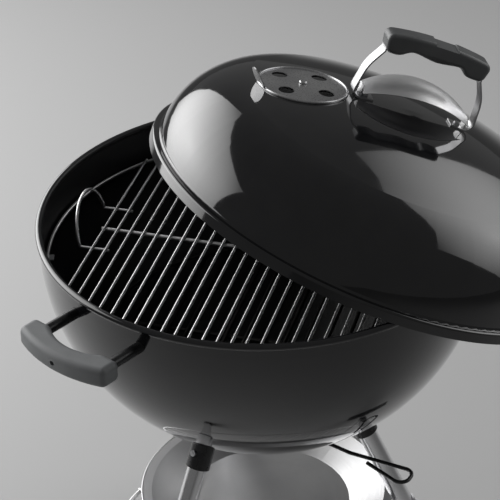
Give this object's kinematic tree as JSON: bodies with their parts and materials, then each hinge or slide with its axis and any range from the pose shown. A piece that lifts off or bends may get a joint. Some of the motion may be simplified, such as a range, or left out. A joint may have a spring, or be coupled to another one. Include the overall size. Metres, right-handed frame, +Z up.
{
  "type": "kettle charcoal grill",
  "caption": "Round enamelled kettle grill on splayed legs with wheels, a leaning domed lid with a damper and handle, a wire cooking grate, a sweep lever and a hanging ash dish.",
  "frame": {"origin": "on the floor under the axis of the bowl", "axes": "+Z up; +X from the bowl's axis to the side handle between the two wheeled legs, -X to the capped leg; +Y to the rear wheel"},
  "size_m": [0.7658, 0.6687, 0.9358],
  "materials": {
    "black_enamel": "glossy porcelain enamel",
    "plated_wire": "bright plated wire",
    "coal_steel": "plain steel rod",
    "zinc_steel": "zinc plated",
    "blade_steel": "aluminised sheet",
    "satin_aluminium": "satin",
    "spring_steel": "spring steel",
    "polished_steel": "polished stainless",
    "leg_tube": "bright drawn tube",
    "black_steel": "black coated",
    "black_plastic": "moulded, fine grain",
    "grey_grip": "glass filled nylon, fine grain",
    "dark_grip": "glass filled nylon, fine grain"
  },
  "bodies": {
    "stand": {"ash_catcher": "satin_aluminium", "ash_catcher_clips": "spring_steel", "axle": "zinc_steel", "bottom_rack": "plated_wire", "bowl": "black_enamel", "charcoal_grate": "coal_steel", "foot_cap": "black_plastic", "grate_tabs": "zinc_steel", "handle_grip_left": "grey_grip", "handle_grip_right": "grey_grip", "handle_screws": "black_steel", "handle_stubs_left": "black_steel", "handle_stubs_right": "black_steel", "hub_cap_front": "polished_steel", "hub_cap_rear": "polished_steel", "leg_buttons": "zinc_steel", "leg_foot": "leg_tube", "leg_socket_foot": "black_steel", "leg_socket_wheel_front": "black_steel", "leg_socket_wheel_rear": "black_steel", "leg_wheel_front": "leg_tube", "leg_wheel_rear": "leg_tube"},
    "cooking_grate": {"cooking_grate": "plated_wire"},
    "sweeper": {"sweep_hub": "zinc_steel", "sweep_blade_1": "blade_steel", "sweep_blade_2": "blade_steel", "sweep_blade_3": "blade_steel", "blade_rivets": "zinc_steel", "hub_bushing": "zinc_steel", "lever_rod": "black_steel"},
    "wheel_front": {"wheel_front": "black_plastic"},
    "wheel_rear": {"wheel_rear": "black_plastic"},
    "lid": {"lid": "black_enamel", "damper_rivet": "satin_aluminium", "lid_strap_left": "polished_steel", "lid_strap_right": "polished_steel", "lid_bolts": "zinc_steel", "lid_nuts": "zinc_steel", "lid_grip": "dark_grip", "heat_shield": "polished_steel"},
    "damper": {"lid_damper": "satin_aluminium"}
  },
  "joints": [
    {"name": "grate_lift", "type": "slide", "parent": "stand", "child": "cooking_grate", "axis": [0, 0, 1], "range_m": [0, 0.03]},
    {"name": "sweep_turn", "type": "hinge", "parent": "stand", "child": "sweeper", "pos_m": [0, 0, 0.405], "axis": [0, 0, 1], "range_deg": [-70, 10]},
    {"name": "front_wheel_spin", "type": "hinge", "parent": "stand", "child": "wheel_front", "pos_m": [0.14332, -0.29194, 0.075], "axis": [0, 1, 0], "continuous": true},
    {"name": "rear_wheel_spin", "type": "hinge", "parent": "stand", "child": "wheel_rear", "pos_m": [0.14332, 0.29194, 0.075], "axis": [0, 1, 0], "continuous": true},
    {"name": "lid_lift", "type": "slide", "parent": "stand", "child": "lid", "axis": [0.3589, -0.1981, 0.9121], "range_m": [0, 0.3]},
    {"name": "damper_turn", "type": "hinge", "parent": "lid", "child": "damper", "pos_m": [0.08566, 0.00808, 0.86753], "axis": [0.2146, -0.0366, 0.976], "range_deg": [0, 45]}
  ]
}
